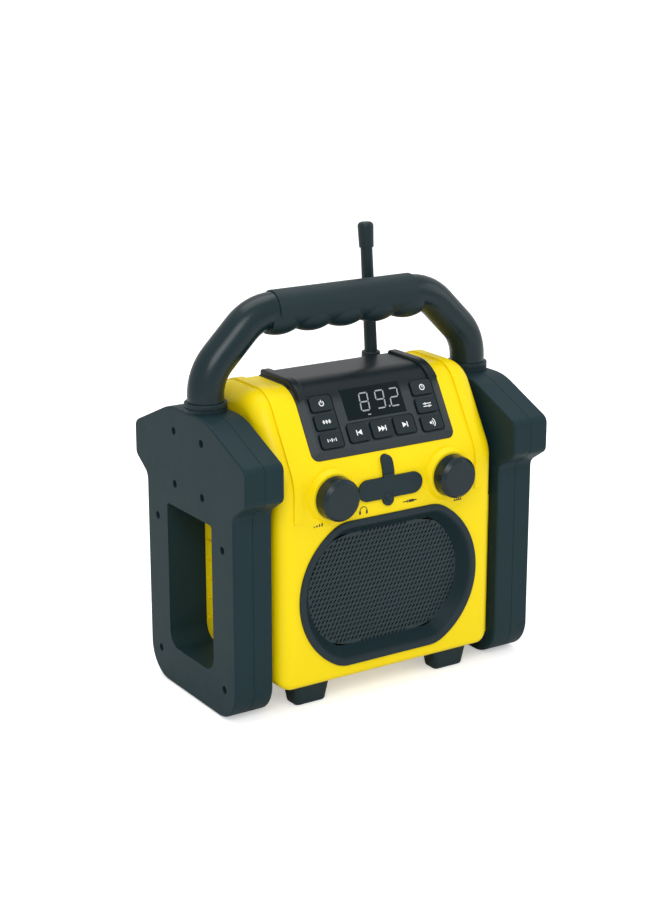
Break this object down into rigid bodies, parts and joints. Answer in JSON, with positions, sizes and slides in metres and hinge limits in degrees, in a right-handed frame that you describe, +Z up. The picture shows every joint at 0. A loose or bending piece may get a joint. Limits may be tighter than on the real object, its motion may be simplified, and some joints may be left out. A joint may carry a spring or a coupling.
{
  "type": "jobsite radio",
  "caption": "Rugged jobsite radio: a body with loudspeaker, sloped panel, two knobs and rubber aerial, between two thick side frames joined by a tube handle with a finger grip.",
  "frame": {"origin": "on the floor, below the middle of the radio", "axes": "front faces -Y, +X is the viewer's right, +Z up"},
  "size_m": [0.26, 0.161, 0.3312],
  "materials": {
    "yellow_shell": "moulded, satin sheen",
    "slate_plastic": "fine moulded texture",
    "panel_plastic": "fine moulded texture",
    "key_plastic": "fine moulded texture",
    "knob_plastic": "fine moulded texture",
    "slate_rubber": "matt moulded rubber",
    "collar_plastic": "fine moulded texture",
    "tube_metal": "powder coated aluminium tube",
    "grille_metal": "pierced steel sheet, painted",
    "screw_steel": "plated steel",
    "cone_paper": "pressed paper cone",
    "magnet_iron": "ferrite",
    "smoked_window": "smoked, polished",
    "inner_plastic": "moulded",
    "circuit_board": "laminate",
    "control_metal": "plain",
    "cell_metal": "sleeved cells"
  },
  "bodies": {
    "case": {"aerial_base": "collar_plastic", "aerial_cap": "slate_rubber", "aerial_rod": "slate_rubber", "aux_jack": "inner_plastic", "battery_cells": "cell_metal", "battery_tray": "panel_plastic", "control_panel": "panel_plastic", "cover_anchor": "slate_rubber", "dc_inlet": "inner_plastic", "display_module": "inner_plastic", "display_window": "smoked_window", "driver_basket": "screw_steel", "driver_magnet": "magnet_iron", "dust_cap": "cone_paper", "frame_screws": "screw_steel", "front_left_foot": "slate_rubber", "front_right_foot": "slate_rubber", "front_shell": "yellow_shell", "handle_grip": "slate_rubber", "handle_tube": "tube_metal", "headphone_jack": "inner_plastic", "key_board": "circuit_board", "left_collar": "collar_plastic", "left_frame_inner": "slate_plastic", "left_frame_outer": "slate_plastic", "left_side_pad": "slate_rubber", "main_board": "circuit_board", "rear_left_foot": "slate_rubber", "rear_right_foot": "slate_rubber", "rear_shell": "yellow_shell", "right_collar": "collar_plastic", "right_frame_inner": "slate_plastic", "right_frame_outer": "slate_plastic", "right_side_pad": "slate_rubber", "shell_screws": "screw_steel", "speaker_bezel": "slate_plastic", "speaker_cone": "cone_paper", "speaker_grille": "grille_metal", "tuning_control": "control_metal", "volume_control": "control_metal"},
    "volume_dial": {"volume_knob": "knob_plastic", "volume_shaft": "screw_steel"},
    "tuning_dial": {"tuning_knob": "knob_plastic", "tuning_shaft": "screw_steel"},
    "socket_flap": {"jack_cover": "slate_rubber"},
    "rear_door": {"battery_door": "slate_plastic"},
    "power_button": {"power_key": "key_plastic"},
    "mode_button": {"mode_key": "key_plastic"},
    "scan_button": {"scan_key": "key_plastic"},
    "clock_button": {"clock_key": "key_plastic"},
    "preset_button": {"preset_key": "key_plastic"},
    "link_button": {"link_key": "key_plastic"},
    "back_button": {"back_key": "key_plastic"},
    "play_button": {"play_key": "key_plastic"},
    "next_button": {"next_key": "key_plastic"}
  },
  "joints": [
    {"name": "volume_turn", "type": "hinge", "parent": "case", "child": "volume_dial", "pos_m": [-0.0506, -0.07, 0.1585], "axis": [0, -1, 0], "range_deg": [-150, 150]},
    {"name": "tuning_turn", "type": "hinge", "parent": "case", "child": "tuning_dial", "pos_m": [0.0506, -0.07, 0.1585], "axis": [0, -1, 0], "continuous": true},
    {"name": "socket_flap_swing", "type": "hinge", "parent": "case", "child": "socket_flap", "pos_m": [0, -0.06655, 0.168], "axis": [-1, 0, 0], "range_deg": [0, 110], "stiffness_Nm_per_rad": 0.001},
    {"name": "rear_door_swing", "type": "hinge", "parent": "case", "child": "rear_door", "pos_m": [0, 0.0608, 0.035], "axis": [-1, 0, 0], "range_deg": [0, 95]},
    {"name": "power_press", "type": "slide", "parent": "case", "child": "power_button", "axis": [0, 0.8572, -0.515], "range_m": [0, 0.0008], "stiffness_N_per_m": 300},
    {"name": "mode_press", "type": "slide", "parent": "case", "child": "mode_button", "axis": [0, 0.8572, -0.515], "range_m": [0, 0.0008], "stiffness_N_per_m": 300},
    {"name": "scan_press", "type": "slide", "parent": "case", "child": "scan_button", "axis": [0, 0.8572, -0.515], "range_m": [0, 0.0008], "stiffness_N_per_m": 300},
    {"name": "clock_press", "type": "slide", "parent": "case", "child": "clock_button", "axis": [0, 0.8572, -0.515], "range_m": [0, 0.0008], "stiffness_N_per_m": 300},
    {"name": "preset_press", "type": "slide", "parent": "case", "child": "preset_button", "axis": [0, 0.8572, -0.515], "range_m": [0, 0.0008], "stiffness_N_per_m": 300},
    {"name": "link_press", "type": "slide", "parent": "case", "child": "link_button", "axis": [0, 0.8572, -0.515], "range_m": [0, 0.0008], "stiffness_N_per_m": 300},
    {"name": "back_press", "type": "slide", "parent": "case", "child": "back_button", "axis": [0, 0.8572, -0.515], "range_m": [0, 0.0008], "stiffness_N_per_m": 300},
    {"name": "play_press", "type": "slide", "parent": "case", "child": "play_button", "axis": [0, 0.8572, -0.515], "range_m": [0, 0.0008], "stiffness_N_per_m": 300},
    {"name": "next_press", "type": "slide", "parent": "case", "child": "next_button", "axis": [0, 0.8572, -0.515], "range_m": [0, 0.0008], "stiffness_N_per_m": 300}
  ]
}
